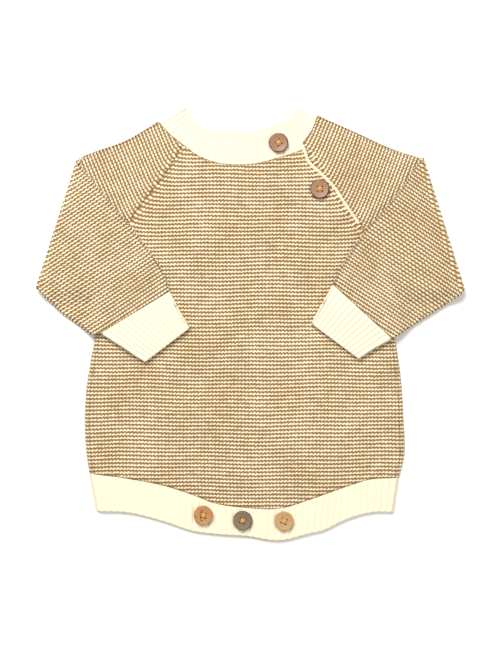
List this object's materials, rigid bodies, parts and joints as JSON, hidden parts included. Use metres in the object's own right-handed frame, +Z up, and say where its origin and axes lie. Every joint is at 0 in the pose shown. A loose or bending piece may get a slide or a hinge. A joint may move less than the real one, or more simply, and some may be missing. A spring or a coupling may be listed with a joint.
{
  "type": "baby romper",
  "caption": "Knitted long-sleeved bubble romper laid flat, sleeves folded over the front, with raglan placket and buttoned crotch band.",
  "frame": {"origin": "on the surface that it lies on, under the middle of its outline", "axes": "+Z up from the surface, +Y to the neck, +X to the wearer's left"},
  "size_m": [0.3946, 0.4004, 0.0113],
  "materials": {
    "garter_knit": "cream cotton yarn in garter stitch, matt with a soft fuzz",
    "rib_knit": "cream cotton yarn in one-by-one rib, matt",
    "button_brown": "mid-brown wood with a dark bark rim, satin",
    "button_amber": "orange-brown wood with darker patches, satin",
    "button_grey_brown": "grey-brown wood, satin",
    "button_tan": "light tan wood, satin"
  },
  "bodies": {
    "root": {"back_panel": "garter_knit", "front_panel": "garter_knit", "sleeve_right": "garter_knit", "sleeve_left": "garter_knit", "cuff_right": "rib_knit", "cuff_left": "rib_knit", "neckband": "rib_knit", "placket_underlap": "rib_knit", "hem_band_front": "rib_knit", "hem_band_back": "rib_knit", "button_neck": "button_brown", "button_placket": "button_brown", "button_crotch_right": "button_amber", "button_crotch_middle": "button_grey_brown", "button_crotch_left": "button_tan"}
  },
  "joints": []
}
